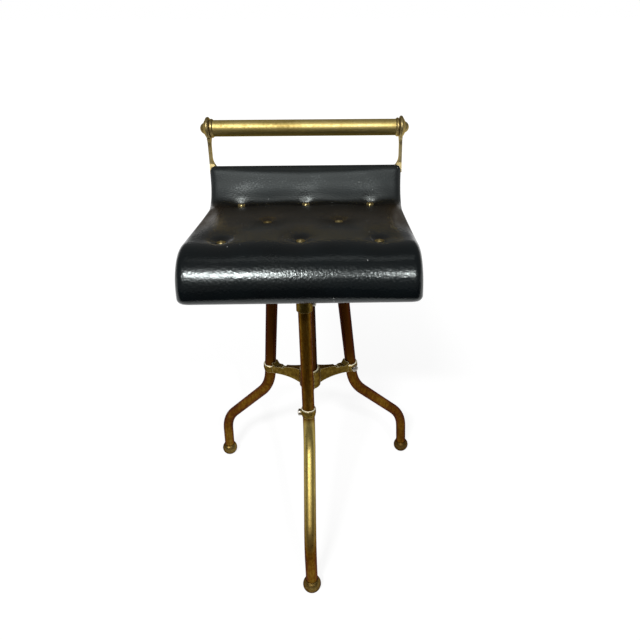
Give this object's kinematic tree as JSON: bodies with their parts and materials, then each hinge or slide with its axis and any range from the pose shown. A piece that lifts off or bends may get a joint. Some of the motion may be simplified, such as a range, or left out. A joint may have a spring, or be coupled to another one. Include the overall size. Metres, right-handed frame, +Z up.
{
  "type": "music stool",
  "caption": "Tripod music stool: double-bent tube legs in a cast spider and head, a height-adjustable swivel column, and an S-shaped buttoned leather seat with a top rail.",
  "frame": {"origin": "on the floor, under the middle of the stool's own box, which runs from the front foot to the back of the rail", "axes": "+Z up along the column, the front leg and the seat's front roll point to -Y, the rail is on the +Y side, and right means +X, as seen from the front"},
  "size_m": [0.431, 0.4614, 0.7286],
  "materials": {
    "leg_brass": "aged, brown-gold patina",
    "foot_brass": "aged, worn golden",
    "cast_brass": "cast, dark brown patina with bright rims",
    "column_brass": "aged, dark red-brown patina",
    "bush_brass": "turned",
    "trim_brass": "aged, polished by use",
    "bracket_brass": "aged, pale golden",
    "rail_brass": "aged golden, mottled patina",
    "stud_brass": "aged, small domes",
    "screw_steel": "dull nickel",
    "stem_steel": "bright turned",
    "plate_iron": "black, cast",
    "board_wood": "bent plywood, stained",
    "seat_leather": "glossy black, fine grain, buttoned",
    "lining_cloth": "black dust cloth",
    "washer_fibre": "vulcanised fibre"
  },
  "bodies": {
    "base": {"front_leg": "leg_brass", "right_leg": "leg_brass", "left_leg": "leg_brass", "front_foot": "foot_brass", "right_foot": "foot_brass", "left_foot": "foot_brass", "leg_spider": "cast_brass", "collar_screws": "screw_steel", "column_tube": "column_brass", "column_plug": "column_brass", "head_casting": "cast_brass", "head_screws": "screw_steel", "stem_bush": "bush_brass"},
    "clamp": {"clamp_screw": "screw_steel", "clamp_knob": "trim_brass"},
    "stem": {"stem": "stem_steel", "stem_guide": "bush_brass", "swivel_washer": "washer_fibre", "retaining_washer": "screw_steel", "retaining_screw": "screw_steel"},
    "seat": {"seat_plate": "plate_iron", "plate_screws": "screw_steel", "seat_board": "board_wood", "seat_pad": "seat_leather", "seat_lining": "lining_cloth", "seat_studs": "stud_brass", "left_bracket": "bracket_brass", "right_bracket": "bracket_brass", "bracket_screws": "screw_steel", "rail_tube": "rail_brass", "rail_rod": "stem_steel", "left_bead": "trim_brass", "right_bead": "trim_brass", "left_cap_nut": "trim_brass", "right_cap_nut": "trim_brass"}
  },
  "joints": [
    {"name": "stem_slide", "type": "slide", "parent": "base", "child": "stem", "axis": [0, 0, 1], "range_m": [0, 0.12]},
    {"name": "seat_swivel", "type": "hinge", "parent": "stem", "child": "seat", "pos_m": [0, 0.01555, 0.5519], "axis": [0, 0, 1], "continuous": true},
    {"name": "clamp_turn", "type": "hinge", "parent": "base", "child": "clamp", "pos_m": [0, 0.01555, 0.522], "axis": [0, 1, 0], "range_deg": [0, 360]}
  ]
}
